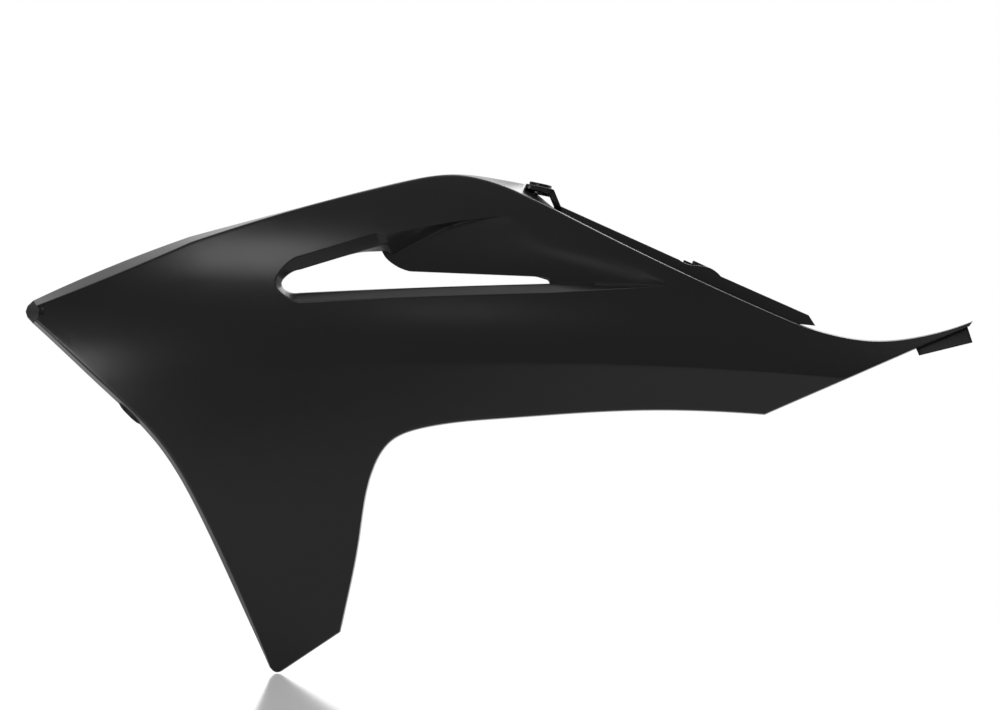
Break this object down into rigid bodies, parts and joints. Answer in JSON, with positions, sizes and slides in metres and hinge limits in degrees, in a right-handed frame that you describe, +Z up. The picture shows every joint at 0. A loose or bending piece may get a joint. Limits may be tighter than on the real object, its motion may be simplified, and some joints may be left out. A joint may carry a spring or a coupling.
{
  "type": "dirt bike radiator shroud",
  "caption": "Left-hand radiator shroud for a dirt bike: a wing-shaped moulded plastic panel with an open air scoop, returned edges and bolt ears.",
  "frame": {"origin": "centre of the bolt hole in the front ear", "axes": "+X rearward along the bike, +Z up, and the outer face looks to -Y"},
  "size_m": [0.6214, 0.1074, 0.3263],
  "materials": {
    "moulded_plastic": "black, smooth satin moulding"
  },
  "bodies": {
    "root": {"shroud_panel": "moulded_plastic"}
  },
  "joints": []
}
